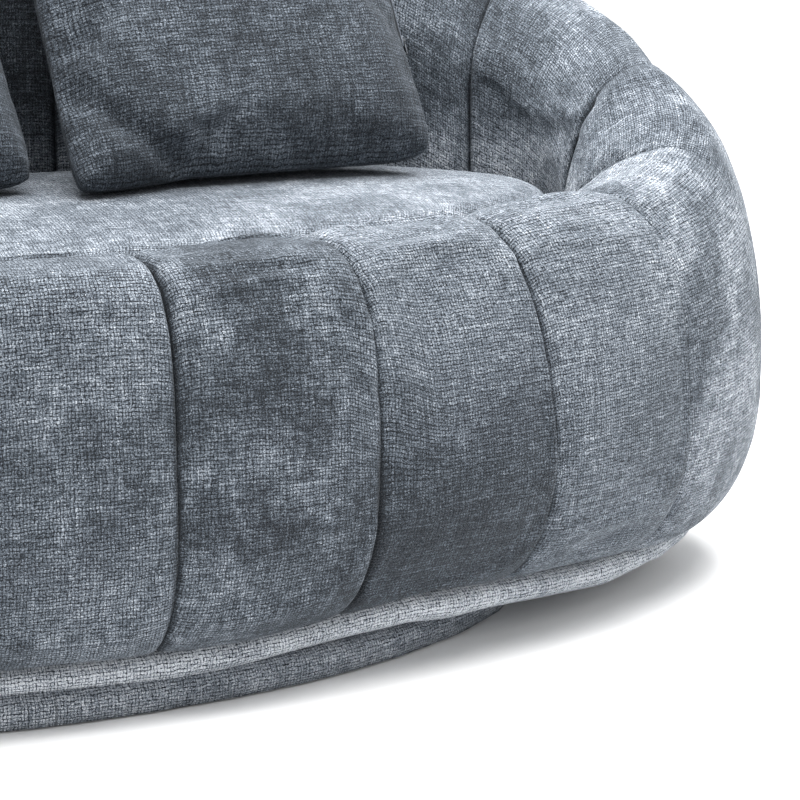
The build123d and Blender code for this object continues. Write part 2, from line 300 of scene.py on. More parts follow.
def ring_section(place, pulled):
    """One upright section through the ring: its points in space."""
    angle = ring_angle(place)
    outer = ring_point(np.array(angle), RING)
    inner = ring_point(np.array(well_angle(angle)), WELL)
    thickness = np.linalg.norm(inner - outer)
    inward = (inner - outer) / thickness
    crest_share = BACK_CREST_SHARE
    if math.cos(angle) > 0:
        crest_share += (FRONT_CREST_SHARE - BACK_CREST_SHARE) * math.cos(angle) ** 2
    left = PULL_OUT * pulled
    right = thickness - PULL_IN * pulled
    crest = thickness * crest_share
    height = crest_height(place)
    top = height - PULL_TOP * pulled
    widest = FRONT_WIDEST + WIDEST_RISE * (height - FRONT_HEIGHT)
    shoulder = top - min(INNER_SHOULDER, 1.1 * (right - crest))
    bottom = LOBE_BOTTOM + by_place(LOW_LINE, place) + 0.005 * pulled
    tuck = UNDERSIDE_TUCK
    square = by_place(CREST_SQUARE, place)
    counts = SECTION_COUNTS
    flat = np.concatenate(
        [
            quarter(tuck, widest, tuck - left, widest - bottom, 270, -90, counts[0]),
            quarter(crest, widest, crest - left, top - widest, 180, -90, counts[1], square),
            quarter(crest, shoulder, right - crest, top - shoulder, 90, -90, counts[2]),
            straight((right, shoulder), (right, bottom), counts[3]),
            straight((right, bottom), (tuck, bottom), counts[4]),
        ]
    )
    return outer + inward * flat[:, :1] + np.array([0, 0, 1.0]) * flat[:, 1:]


def lobe_name(index):
    if index == 0:
        return "front_lobe_centre"
    side = "right" if index > 0 else "left"
    number = abs(index)
    if number <= 3:
        return f"front_lobe_{side}_{number}"
    if number <= 6:
        return f"arm_lobe_{side}_{number - 3}"
    return f"back_lobe_{side}_{number - 6}"


def ring_grids():
    """Every lobe's grid of points: stations across the lobe, and points round its section."""
    across = np.linspace(-1, 1, STATIONS)
    across = np.sign(across) * (1 - (1 - np.abs(across)) ** 1.35)
    pulled = 1 - (1 - np.abs(across) ** BULGE_POWER) ** (1 / BULGE_POWER)
    half = 0.5 - SEAM_HALF_GAP / LOBE_WIDTH
    grids = {}
    for index in range(-LOBES_PER_SIDE, LOBES_PER_SIDE + 1):
        rows = [
            ring_section(index + half * where, amount) for where, amount in zip(across, pulled)
        ]
        grids[index] = np.stack(rows)
    return grids


def simulate_lobe_ring(grids):
    """Blows the fabric up between its sewn seams, all lobes in one run."""
    sample = next(iter(grids.values()))
    rows, columns = sample.shape[:2]
    points, faces, pins = [], [], []
    for order, grid in enumerate(grids.values()):
        offset = order * rows * columns
        points.append(grid.reshape(-1, 3))
        faces.extend(grid_faces(rows, columns, True, offset))
        for row in (0, rows - 1):
            pins.extend(offset + row * columns + column for column in range(columns))
        under = sum(SECTION_COUNTS[:4])
        for row in range(rows):
            pins.extend(offset + row * columns + column for column in range(under, columns))
    start = np.concatenate(points)
    end = run_cloth(start, faces, sorted(set(pins)), **LOBE_CLOTH)
    end = capped(start, end, LOBE_CLOTH_MOVE)
    result = {}
    for order, index in enumerate(grids):
        offset = order * rows * columns
        result[index] = end[offset : offset + rows * columns].reshape(rows, columns, 3)
    return result


def wrinkled(grid, index):
    """Puckers that run out from the two seams, and a soft unevenness of the stuffing."""
    rows, columns = grid.shape[:2]
    normals = grid_normals(grid, True)
    centre = grid.mean(axis=(0, 1))
    if np.sum(normals[rows // 2] * (grid[rows // 2] - centre)) < 0:
        normals = -normals
    across = np.linspace(-1, 1, rows)[:, None]
    moves = STUFFING_HILLS * hills(grid, 900, 14, 2)
    for side in (-1, 1):
        seed = 2 * index + side
        wave = smooth_noise(4000 + seed, columns, 46) * 0.7 + smooth_noise(5000 + seed, columns, 22)
        depth = np.abs(smooth_noise(6000 + seed, columns, 9)) * 0.8 + 0.2
        near = np.clip(1 - np.abs(across - side) / PUCKER_REACH, 0, 1) ** 2
        fade = np.clip(np.abs(across - side) / 0.10, 0, 1)
        moves = moves + PUCKER_DEPTH * near * fade * (wave * depth)[None, :]
    return grid + normals * moves[:, :, None]


def lobe_object(index, grid, rest):
    """One lobe of the ring: a closed stuffed form between its seams."""
    rows, columns = grid.shape[:2]
    middle = rows // 2
    across = np.linalg.norm(np.diff(rest, axis=0), axis=2)
    across = np.concatenate([np.zeros((1, columns)), np.cumsum(across, axis=0)])
    across -= across[middle]
    around = np.linalg.norm(np.diff(rest[middle], axis=0), axis=1)
    around = np.concatenate([[0], np.cumsum(around)])
    seed = index + LOBES_PER_SIDE
    along = np.broadcast_to(around, (rows, columns)) + 0.11 * seed
    seeds = np.full((rows, columns), float(seed))
    weave = np.stack([across + 0.37 * seed, along, seeds], axis=2)
    half_width = np.where(across > 0, across[-1], -across[0])
    # painted shade beside each seam: 1 at the seam, fading to 0 one SEAM_SHADE_WIDTH in
    seam_shade = np.clip(1 - (half_width - np.abs(across)) / SEAM_SHADE_WIDTH, 0, 1).ravel()
    points = list(grid.reshape(-1, 3))
    weaves = list(weave.reshape(-1, 3))
    faces = grid_faces(rows, columns, True)
    for row in (0, rows - 1):
        hub = grid[row].mean(axis=0)
        first = len(points)
        for column in range(columns):
            points.append(grid[row, column] * 0.35 + hub * 0.65)
            weaves.append(weave[row, column])
        points.append(hub)
        weaves.append(weave[row, 0])
        for column in range(columns):
            after = (column + 1) % columns
            base = row * columns
            faces.append((base + column, base + after, first + after, first + column))
            faces.append((first + column, first + after, first + columns))
    seam_shade = np.concatenate([seam_shade, np.ones(len(points) - len(seam_shade))])
    made = make_object(f"{lobe_name(index)}_fabric", points, faces, weaves, seam_shade=seam_shade)
    return outward_faces(made)


# ---------------------------------------------------------------- materials
class Graph:
    """Short words for building a material's nodes."""

    def __init__(self, name):
        self.material = bpy.data.materials.new(name)
        self.material.use_nodes = True
        self.tree = self.material.node_tree
        self.tree.nodes.clear()
        self.count = 0

    def add(self, kind, **settings):
        self.count += 1
        made = self.tree.nodes.new(kind)
        made.location = (220 * (self.count % 12), -260 * (self.count // 12))
        for name, value in settings.items():
            setattr(made, name, value)
        return made

    def split(self, vector):
        made = self.add("ShaderNodeSeparateXYZ")
        self.put(made.inputs[0], vector)
        return made.outputs

    def put(self, socket, value):
        if isinstance(value, bpy.types.NodeSocket):
            self.tree.links.new(value, socket)
        else:
            socket.default_value = value

    def math(self, operation, a, b=0.0, c=0.0, clamp=False):
        made = self.add("ShaderNodeMath", operation=operation, use_clamp=clamp)
        for socket, value in zip(made.inputs, (a, b, c)):
            self.put(socket, value)
        return made.outputs[0]

    def combine(self, x, y, z):
        made = self.add("ShaderNodeCombineXYZ")
        for socket, value in zip(made.inputs, (x, y, z)):
            self.put(socket, value)
        return made.outputs[0]

    def noise(self, vector, scale, detail=2.0, roughness=0.5, distortion=0.0):
        made = self.add("ShaderNodeTexNoise")
        self.put(made.inputs["Vector"], vector)
        made.inputs["Scale"].default_value = scale
        made.inputs["Detail"].default_value = detail
        made.inputs["Roughness"].default_value = roughness
        made.inputs["Distortion"].default_value = distortion
        return made.outputs["Fac"]

    def ramp(self, value, stops):
        made = self.add("ShaderNodeValToRGB")
        self.put(made.inputs["Fac"], value)
        band = made.color_ramp
        while len(band.elements) < len(stops):
            band.elements.new(0.5)
        for element, (place, colour) in zip(band.elements, stops):
            element.position = place
            element.color = (*colour, 1.0)
        return made.outputs["Color"]

    def spread(self, value, low, high, out_low=0.0, out_high=1.0, kind="LINEAR"):
        made = self.add("ShaderNodeMapRange", interpolation_type=kind)
        for name, number in (
            ("Value", value),
            ("From Min", low),
            ("From Max", high),
            ("To Min", out_low),
            ("To Max", out_high),
        ):
            self.put(made.inputs[name], number)
        return made.outputs["Result"]

    def shader(self, **settings):
        made = self.add("ShaderNodeBsdfPrincipled")
        out = self.add("ShaderNodeOutputMaterial")
        self.tree.links.new(made.outputs["BSDF"], out.inputs["Surface"])
        for name, value in settings.items():
            self.put(made.inputs[name.replace("_", " ")], value)
        return made

    def bump(self, height, distance, strength=1.0, normal=None):
        made = self.add("ShaderNodeBump")
        made.inputs["Distance"].default_value = distance
        made.inputs["Strength"].default_value = strength
        self.put(made.inputs["Height"], height)
        if normal is not None:
            self.put(made.inputs["Normal"], normal)
        return made.outputs["Normal"]


WARP_PITCH = 0.0032
WEFT_PITCH = 0.0033
MEAN_TONE = 0.295
# how much darker the painted shade in the seam grooves makes the tone
SEAM_PAINTED_SHADE = -0.45


def chenille(name, nap_and_light_tone=0.0, mottle=1.0, painted_low_shade=0.0, painted_inner_shade=0.0):
    """Slate chenille: two-way yarns with slubs and dark gaps, brushed nap blotches and a soft sheen; painted
    shade at the seams, low down and inside the backrest, painted light near the top, and a tone shift that
    is partly nap and partly painted light and shade.
    """
    g = Graph(name)
    weave = g.add("ShaderNodeAttribute", attribute_name="weave").outputs["Vector"]
    u, v, seed = g.split(weave)
    place = g.add("ShaderNodeTexCoord").outputs["Object"]

    # yarns wander, and swell and thin along their length
    wander_u = g.math("MULTIPLY_ADD", g.noise(weave, 60, 1), 0.0040, u)
    wander_v = g.math("MULTIPLY_ADD", g.noise(g.combine(v, u, seed), 64, 1), 0.0036, v)
    wander_u = g.math("MULTIPLY_ADD", g.noise(weave, 330, 1), 0.0022, wander_u)
    wander_v = g.math("MULTIPLY_ADD", g.noise(g.combine(v, u, seed), 350, 1), 0.0020, wander_v)
    a = g.math("SINE", g.math("MULTIPLY", wander_u, math.pi / WARP_PITCH))
    b = g.math("SINE", g.math("MULTIPLY", wander_v, math.pi / WEFT_PITCH))
    high_a = g.math("ABSOLUTE", a)
    high_b = g.math("ABSOLUTE", b)
    over = g.spread(g.math("MULTIPLY", a, b), -0.3, 0.3, kind="SMOOTHSTEP")
    warp_top = g.math("MULTIPLY", g.math("POWER", high_a, 0.7), g.spread(high_b, 0, 0.7, 0.35, 1.0))
    weft_top = g.math("MULTIPLY", g.math("POWER", high_b, 0.7), g.spread(high_a, 0, 0.7, 0.35, 1.0))
    one_way = g.math("MULTIPLY", warp_top, over)
    other_way = g.math("MULTIPLY", weft_top, g.math("SUBTRACT", 1.0, over))
    height = g.math("ADD", one_way, other_way)

    # each yarn has its own shade for a hand's breadth or so, and some are bright slubs
    def streak(across, pitch, along, stretch, offset, detail=1.5):
        lane = g.math("MULTIPLY", across, 0.80 / pitch)
        run = g.math("MULTIPLY", along, stretch)
        return g.noise(g.combine(lane, run, g.math("ADD", seed, offset)), 1.0, detail, 0.5)

    down = streak(wander_u, WARP_PITCH, v, 26, 0.0)
    side = streak(wander_v, WEFT_PITCH, u, 30, 3.0)
    slub_down = g.spread(streak(wander_u, WARP_PITCH, v, 11, 5.0, 0.0), 0.66, 0.80)
    slub_side = g.spread(streak(wander_v, WEFT_PITCH, u, 14, 9.0, 0.0), 0.68, 0.82)

    def flecks(along, across, detail, roughness):
        """Short specks, one unit of noise to each step along and across the yarns."""
        spot = g.combine(g.math("MULTIPLY", *along), g.math("MULTIPLY", *across), seed)
        return g.noise(spot, 1.0, detail, roughness)

    dashes = flecks((u, 210), (v, 330), 2, 0.7)
    fuzz = g.noise(place, 1050, 2, 0.75)
    grains = g.noise(place, 330, 2, 0.7)

    # the nap lies this way and that in broad patches
    broad = g.spread(g.noise(place, 8.5, 3, 0.60, 0.7), 0.36, 0.64, kind="SMOOTHSTEP")
    patch = g.spread(g.noise(place, 80, 4, 0.68, 0.3), 0.30, 0.70)
    gap = g.spread(g.math("ADD", height, g.spread(dashes, 0.25, 0.75, -0.30, 0.30)), 0.20, 0.52)

    # short dark dashes lie between the rows, and fewer between the columns
    row_bits = g.spread(flecks((u, 240), (v, 300), 1, 0.5), 0.50, 0.57)
    row_dash = g.math("MULTIPLY", g.spread(high_b, 0.15, 0.50, 1, 0), row_bits)
    column_bits = g.spread(flecks((v, 220), (u, 310), 1, 0.5), 0.50, 0.57)
    column_dash = g.math("MULTIPLY", g.spread(high_a, 0.12, 0.42, 1, 0), column_bits)

    # each term, its weight, and the value at which it leaves the tone as it is
    terms = (
        (broad, 0.17 * mottle, 0.5),
        (patch, 0.17 * mottle, 0.5),
        (down, 0.38, 0.5),
        (side, 0.50, 0.5),
        (slub_down, 0.08, 0.06),
        (slub_side, 0.10, 0.05),
        (gap, 0.28, 0.72),
        (row_dash, -0.98, 0.12),
        (column_dash, -0.66, 0.10),
        (fuzz, 2.00, 0.5),
        (grains, 0.55, 0.5),
    )
    # the piece's tone shift: partly its own nap tone, partly painted light and painted shade for how
    # brightly the piece is lit
    tone = MEAN_TONE + nap_and_light_tone
    for value, weight, middle in terms:
        term = g.math("MULTIPLY", g.math("SUBTRACT", value, middle), weight)
        tone = g.math("ADD", tone, term)
    # painted shade in the seam grooves
    seam_shade_mask = g.add("ShaderNodeAttribute", attribute_name="seam_shade").outputs["Fac"]
    tone = g.math("MULTIPLY_ADD", g.math("POWER", seam_shade_mask, 2), SEAM_PAINTED_SHADE, tone)
    x, y, z = g.split(place)
    # painted shade low down on the piece and painted light near its top
    if painted_low_shade:
        tone = g.math("ADD", tone, g.spread(z, 0.14, 0.42, -painted_low_shade, painted_low_shade * 0.5))
    # painted shade on the inner side of the backrest, above the seat
    if painted_inner_shade:
        plan_x = g.math("MULTIPLY", x, 1 / RING[0])
        plan_y = g.math("MULTIPLY", g.math("SUBTRACT", y, RING_Y), 1 / RING[1])
        reach = g.math("SQRT", g.math("ADD", g.math("POWER", plan_x, 2), g.math("POWER", plan_y, 2)))
        inside = g.spread(reach, 0.72, 0.95, -painted_inner_shade, 0.0, "SMOOTHSTEP")
        raised = g.spread(z, 0.42, 0.50, 0.0, 1.0, "SMOOTHSTEP")
        tone = g.math("MULTIPLY_ADD", inside, raised, tone)
    colour = g.ramp(
        tone,
        (
            (0.00, (0.006, 0.008, 0.011)),
            (0.22, (0.030, 0.038, 0.048)),
            (0.50, (0.110, 0.130, 0.156)),
            (0.78, (0.290, 0.320, 0.358)),
            (1.00, (0.600, 0.630, 0.670)),
        ),
    )
    rough_bits = g.math("MULTIPLY_ADD", fuzz, 0.7, gap)
    nap = g.bump(patch, 0.0020, 0.30)
    normal = g.bump(rough_bits, 0.0012, 1.0, nap)
    g.shader(
        Base_Color=colour,
        Roughness=g.spread(gap, 0, 1, 0.95, 0.75),
        Normal=normal,
        Sheen_Weight=0.10,
        Sheen_Roughness=0.40,
        Sheen_Tint=(0.85, 0.92, 1.0, 1.0),
        Specular_IOR_Level=0.15,
    )
    return g.material


def zip_cloth(name):
    """Close-woven twill tape."""
    g = Graph(name)
    place = g.add("ShaderNodeTexCoord").outputs["Object"]
    wave = g.add("ShaderNodeTexWave", wave_type="BANDS", bands_direction="DIAGONAL")
    g.put(wave.inputs["Vector"], place)
    wave.inputs["Scale"].default_value = 320
    wave.inputs["Distortion"].default_value = 1.5
    grain = g.noise(place, 900, 2)
    colour = g.ramp(
        g.math("MULTIPLY_ADD", grain, 0.5, g.math("MULTIPLY", wave.outputs["Fac"], 0.5)),
        ((0.1, (0.020, 0.026, 0.036)), (0.6, (0.060, 0.075, 0.098)), (1.0, (0.12, 0.14, 0.17))),
    )
    g.shader(Base_Color=colour, Roughness=0.85, Normal=g.bump(wave.outputs["Fac"], 0.0002), Sheen_Weight=0.2)
    return g.material


def zip_plastic(name):
    """Moulded teeth: dark, slightly worn plastic."""
    g = Graph(name)
    place = g.add("ShaderNodeTexCoord").outputs["Object"]
    mottle = g.noise(place, 260, 4, 0.6)
    colour = g.ramp(mottle, ((0.3, (0.018, 0.022, 0.030)), (0.7, (0.050, 0.060, 0.075))))
    g.shader(
        Base_Color=colour,
        Roughness=g.spread(mottle, 0.3, 0.7, 0.30, 0.48),
        Normal=g.bump(mottle, 0.0001, 0.5),
        Specular_IOR_Level=0.5,
    )
    return g.material


def zip_metal(name):
    """Dark plated metal with fine scratches and brighter rubbed spots."""
    g = Graph(name)
    place = g.add("ShaderNodeTexCoord").outputs["Object"]
    scratch = g.noise(place, 700, 5, 0.7, 2.0)
    rubbed = g.spread(g.noise(place, 130, 3, 0.6), 0.45, 0.70)
    colour = g.ramp(
        g.math("MULTIPLY_ADD", scratch, 0.35, g.math("MULTIPLY", rubbed, 0.6)),
        ((0.1, (0.045, 0.050, 0.056)), (0.9, (0.20, 0.21, 0.23))),
    )
    g.shader(
        Base_Color=colour,
        Metallic=1.0,
        Roughness=g.spread(scratch, 0.3, 0.7, 0.28, 0.46),
        Normal=g.bump(scratch, 0.00008, 0.6),
    )
    return g.material


def grip_cloth(name):
    """Black non-slip floor cloth with rows of raised rubber dots."""
    g = Graph(name)
    place = g.add("ShaderNodeTexCoord").outputs["Object"]
    dots = g.add("ShaderNodeTexVoronoi", feature="F1")
    g.put(dots.inputs["Vector"], place)
    dots.inputs["Scale"].default_value = 125
    dots.inputs["Randomness"].default_value = 0.0
    dot = g.spread(dots.outputs["Distance"], 0.20, 0.30, 1.0, 0.0, "SMOOTHSTEP")
    grain = g.noise(place, 500, 3, 0.6)
    colour = g.ramp(
        g.math("MULTIPLY_ADD", dot, 0.5, g.math("MULTIPLY", grain, 0.4)),
        ((0.1, (0.014, 0.014, 0.016)), (0.6, (0.045, 0.046, 0.050)), (1.0, (0.085, 0.087, 0.092))),
    )
    g.shader(
        Base_Color=colour,
        Roughness=g.spread(dot, 0, 1, 0.92, 0.55),
        Normal=g.bump(g.math("MULTIPLY_ADD", grain, 0.25, dot), 0.0008),
    )
    return g.material


def wear(made, material):
    made.data.materials.clear()
    made.data.materials.append(material)


def soft_piece(made, material, body, nodes):
    """Dresses a stuffed piece, and says what it rides on and stands for."""
    wear(made, material)
    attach(made, body)
    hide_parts(*nodes)


# ---------------------------------------------------------------- the ring of lobes
# tone shift (partly nap, partly painted light and painted shade), mottling, painted shade low down with
# painted light near the top, and painted shade inside the backrest, by place from the front's middle
LOBE_LOOKS = {
    0: (-0.15, 0.9, 0.01, 0.0),
    1: (-0.21, 1.4, 0.02, 0.0),
    2: (-0.12, 0.6, 0.28, 0.0),
    3: (-0.03, 0.7, 0.10, 0.0),
    4: (0.02, 1.5, 0.02, 0.25),
    5: (0.03, 1.3, 0.0, 0.25),
    8: (0.05, 1.0, 0.0, 0.29),
    9: (0.05, 1.0, 0.0, 0.34),
    10: (0.05, 1.0, 0.0, 0.39),
}
REST_LOOK = (0.05, 1.0, 0.0, 0.25)

FILLS = {
    0: ("lobe_fill_front",),
    5: ("lobe_fill_arm_right",),
    -5: ("lobe_fill_arm_left",),
    8: ("lobe_fill_back_right",),
    -8: ("lobe_fill_back_left",),
}


def build_ring():
    looks = {}
    rest = ring_grids()
    grids = simulate_lobe_ring(rest)
    for index, grid in grids.items():
        final = wrinkled(grid, index)
        made = lobe_object(index, refined(final), refined(rest[index]))
        look = LOBE_LOOKS.get(abs(index), REST_LOOK)
        if look not in looks:
            looks[look] = chenille(f"chenille_lobe_{len(looks)}", *look)
        soft_piece(made, looks[look], "base", (lobe_name(index), *FILLS.get(index, ())))


def smooth_more(made, levels):
    """One or more levels of subdivision, applied to the mesh."""
    modifier = made.modifiers.new("round", "SUBSURF")
    modifier.levels = levels
    modifier.render_levels = levels
    graph = bpy.context.evaluated_depsgraph_get()
    mesh = bpy.data.meshes.new_from_object(made.evaluated_get(graph), depsgraph=graph)
    made.modifiers.clear()
    old = made.data
    name = old.name
    made.data = mesh
    bpy.data.meshes.remove(old)
    mesh.name = name


# ---------------------------------------------------------------- seat
SEAT_TOP = 0.4325
SEAT_CROWN = 0.016
SEAT_FLAT = 0.93
SEAT_EDGE_DROP = 0.036
SEAT_SIDE_DROP = 0.008
SEAT_REAR_DROP = 0.004
SEAT_HILLS = 0.0022


def seat_profile():
    """Share of the plan size and height, from the middle of the top out, down the side and in below."""
    rows = []
    for share in np.linspace(0.02, SEAT_FLAT, 26):
        rows.append((share, SEAT_TOP - SEAT_CROWN * share**4))
    edge_height = SEAT_TOP - SEAT_CROWN * SEAT_FLAT**4
    for turn in np.linspace(8, 90, 10):
        angle = math.radians(turn)
        share = SEAT_FLAT + (0.998 - SEAT_FLAT) * math.sin(angle)
        rows.append((share, edge_height - SEAT_EDGE_DROP * (1 - math.cos(angle))))
    for height in np.linspace(0.36, 0.07, 8):
        rows.append((0.998, height))
    for share in np.linspace(0.97, 0.05, 8):
        rows.append((share, 0.050))
    return rows


def build_seat(material):
    columns = 180
    angles = np.linspace(0, 2 * math.pi, columns, endpoint=False) - math.pi
    size = tuple(length - 0.004 for length in WELL)
    outline = ring_point(angles, size)
    centre = np.array([0, RING_Y, 0])
    rows = []
    for share, height in seat_profile():
        line = centre + (outline - centre) * share
        line[:, 2] = height
        rows.append(line)
    grid = np.stack(rows)
    heights = grid[:, :, 2]
    top = np.clip((heights - 0.37) / 0.05, 0, 1)
    x, y = grid[:, :, 0], grid[:, :, 1]
    sides = np.clip((np.abs(x) - 0.34) / 0.26, 0, 1) ** 1.6
    rear = np.clip((y - RING_Y) / 0.20, 0, 1) ** 1.5
    heights -= top * (SEAT_SIDE_DROP * sides + SEAT_REAR_DROP * rear)
    heights += top * SEAT_HILLS * hills(grid, 31, 13, 2)
    grid = refined(grid)
    count, columns = grid.shape[:2]
    faces = grid_faces(count, columns, True)
    points = list(grid.reshape(-1, 3))
    first, last = len(points), len(points) + 1
    points.append(grid[0].mean(axis=0))
    points.append(grid[-1].mean(axis=0))
    for column in range(columns):
        after = (column + 1) % columns
        faces.append((first, after, column))
        base = (count - 1) * columns
        faces.append((base + column, base + after, last))
    weave = np.array(points)
    drop = np.maximum(SEAT_TOP - 0.010 - weave[:, 2], 0)[:, None]
    outward = weave[:, :2] - centre[:2]
    outward /= np.maximum(np.linalg.norm(outward, axis=1, keepdims=True), 1e-6)
    weave[:, :2] += outward * drop
    weave[:, 2] = 40.0
    made = outward_faces(make_object("seat_fabric", points, faces, weave))
    soft_piece(made, material, "base", ("seat_cover", "seat_core"))


# ---------------------------------------------------------------- lip band and base roll
def sweep(outlines, seed, weave_offset):
    """A grid of points from closed lines, refined, with its cloth coordinates."""
    grid = refined(np.stack(outlines))
    rows, columns = grid.shape[:2]
    along = np.linalg.norm(np.roll(grid[rows // 2], -1, 0) - grid[rows // 2], axis=1)
    along = np.concatenate([[0], np.cumsum(along)[:-1]])
    around = np.linalg.norm(np.diff(grid[:, 0], axis=0), axis=1)
    around = np.concatenate([[0], np.cumsum(around)])
    weave = np.stack(
        [
            np.broadcast_to(along, (rows, columns)) + weave_offset,
            np.broadcast_to(around[:, None], (rows, columns)) + weave_offset,
            np.full((rows, columns), float(seed)),
        ],
        axis=2,
    )
    return grid, weave


def oval_line(size, inset, height, columns, waves=None):
    """A line round the chair, inset from an oval, at a height."""
    angles = np.linspace(0, 2 * math.pi, columns, endpoint=False) - math.pi
    inner_size = tuple(length - inset for length in size)
    line = ring_point(angles, inner_size)
    line[:, 2] = height
    if waves is not None:
        outer = line - np.array([0, RING_Y, height])
        outer /= np.linalg.norm(outer, axis=1, keepdims=True)
        line = line + outer * waves[0][:, None]
        line[:, 2] += waves[1]
    return line


LIP_ROLL = (0.018, 0.0495)
LIP_ROLL_REACH = (0.020, 0.0155)
LIP_INNER = ((0.050, 0.0660, 0.0), (0.100, 0.0640, 0.0), (0.100, 0.0370, 0.0), (0.050, 0.0345, 0.2))


def build_lip(material):
    """The folded band under the lobes, a soft flattened roll."""
    columns = 420
    fold_out = 0.0030 * smooth_noise(71, columns, 60) + 0.0025 * smooth_noise(72, columns, 23)
    fold_low = 0.0028 * smooth_noise(73, columns, 36) + 0.0020 * smooth_noise(74, columns, 90)
    angles = np.linspace(0, 2 * math.pi, columns, endpoint=False) - math.pi
    places = np.interp(np.abs(angles), RING_ANGLES, RING_LENGTHS) / LOBE_WIDTH
    low_line = np.interp(places, *zip(*LOW_LINE))
    profile = []
    for turn in np.linspace(-80, 80, 13):
        out, up = math.cos(math.radians(turn)), math.sin(math.radians(turn))
        inset = LIP_TUCK + LIP_ROLL[0] - LIP_ROLL_REACH[0] * out
        profile.append((inset, LIP_ROLL[1] + LIP_ROLL_REACH[1] * up, out, -up))
    for depth, height, low in LIP_INNER:
        profile.append((LIP_TUCK + depth, height, 0.0, low))
    lines = []
    for inset, height, out, low in profile:
        waves = (fold_out * max(out, 0.0), fold_low * max(low, 0.0) + low_line)
        lines.append(oval_line(RING, inset, height, columns, waves))
    grid, weave = sweep(lines, 50, 0.3)
    rows, columns = grid.shape[:2]
    faces = grid_faces(rows, columns, True)
    base = (rows - 1) * columns
    for column in range(columns):
        after = (column + 1) % columns
        faces.append((base + column, base + after, after, column))
    made = outward_faces(make_object("lip_band_fabric", grid.reshape(-1, 3), faces, weave.reshape(-1, 3)))
    soft_piece(made, material, "base", ("lip_band",))


def base_outline(columns):
    """The base's plan and its outward directions, by equal steps of length."""
    rise = BASE_REAR - BASE_CORNER
    run = BASE_HALF_WIDTH - BASE_CORNER
    offset = (run * run - rise * rise) / (2 * rise)
    radius = BASE_REAR + offset
    swing = math.atan2(offset, run)
    half = []
    for angle in np.linspace(-math.pi / 2, 0, 500):
        half.append((BASE_HALF_WIDTH * math.cos(angle), RING_Y + BASE_FRONT * math.sin(angle)))
    for angle in np.linspace(0, swing, 200)[1:]:
        half.append((run + BASE_CORNER * math.cos(angle), RING_Y + BASE_CORNER * math.sin(angle)))
    for angle in np.linspace(swing, math.pi / 2, 400)[1:]:
        half.append((radius * math.cos(angle), RING_Y - offset + radius * math.sin(angle)))
    half = np.array(half)
    mirrored = half[::-1][1:-1] * np.array([-1, 1])
    line = np.concatenate([half, mirrored, half[:1]])
    length = np.concatenate([[0], np.cumsum(np.linalg.norm(np.diff(line, axis=0), axis=1))])
    wanted = np.linspace(0, length[-1], columns, endpoint=False)
    points = np.stack([np.interp(wanted, length, line[:, axis]) for axis in (0, 1)], axis=1)
    tangent = np.roll(points, -1, 0) - np.roll(points, 1, 0)
    normal = np.stack([tangent[:, 1], -tangent[:, 0]], axis=1)
    normal /= np.linalg.norm(normal, axis=1, keepdims=True)
    return points, normal, offset, radius


BASE_INSETS = (0.04, 0.07, 0.12, 0.20, 0.30)
BASE_BULGE = 0.0012
BASE_ROUND_TOP = 0.024
BASE_ROUND_BOTTOM = 0.009


def build_base(material):
    """The padded roll under the chair, with a soft rounded rim."""
    columns = 480
    points, normals, _, _ = base_outline(columns)
    middle = (BASE_TOP + BASE_BOTTOM) / 2
    half_height = (BASE_TOP - BASE_BOTTOM) / 2 + BASE_BULGE
    dents = 0.0022 * (np.abs(smooth_noise(81, columns, 52)) + 0.6 * np.abs(smooth_noise(82, columns, 120)))
    lines = []
    for inset in reversed(BASE_INSETS):
        lines.append((inset, BASE_BOTTOM, 0.0))
    for turn in np.linspace(-78, 78, 13):
        angle = math.radians(turn)
        round_in = BASE_ROUND_TOP if turn > 0 else BASE_ROUND_BOTTOM
        lines.append((round_in * (1 - math.cos(angle)), middle + half_height * math.sin(angle), 1.0))
    for inset in BASE_INSETS:
        lines.append((inset, BASE_TOP, 0.0))
    outlines = []
    for inset, height, dent in lines:
        scale = 1 - inset / BASE_FRONT * 0.9
        if inset > 0.05:
            flat = np.array([0, RING_Y]) + (points - np.array([0, RING_Y])) * scale
        else:
            flat = points - normals * (inset + dents * dent)[:, None]
        outlines.append(np.column_stack([flat, np.full(columns, height)]))
    grid, weave = sweep(outlines, 60, 0.9)
    rows, columns = grid.shape[:2]
    faces = grid_faces(rows, columns, True)
    all_points = list(grid.reshape(-1, 3))
    weaves = list(weave.reshape(-1, 3))
    for row in (0, rows - 1):
        hub = len(all_points)
        all_points.append(grid[row].mean(axis=0))
        weaves.append(weave[row, 0])
        for column in range(columns):
            faces.append((row * columns + column, row * columns + (column + 1) % columns, hub))
    made = outward_faces(make_object("base_roll_fabric", all_points, faces, weaves))
    soft_piece(made, material, "base", ("base_cover", "base_fill"))


# ---------------------------------------------------------------- pillows
PILLOW_CELLS = 54
PILLOW_FIRST_HALF = 0.052
PILLOW_HALF = 0.0625
PILLOW_RUFFLE = 0.0015
PILLOW_PUCKER = 0.0016
PILLOW_FULLNESS = 0.64
PILLOW_CORNER_IN = 0.055
PILLOW_ZIP_BULGE = 0.008


def pillow_border(share):
    """How far a pillow's side pulls in at a share of its length."""
    return PILLOW_PULL * math.sin(math.pi * share) ** 0.8


def pillow_side_y(a, b):
    """Height of a point of the rim in the pillow: the top side pulls in, and the foot hardly does."""
    half = PILLOW_SIDE / 2
    if b > 0.5:
        return (2 * b - 1) * (half - pillow_border(a))
    return (2 * b - 1) * (half - 0.2 * pillow_border(a))


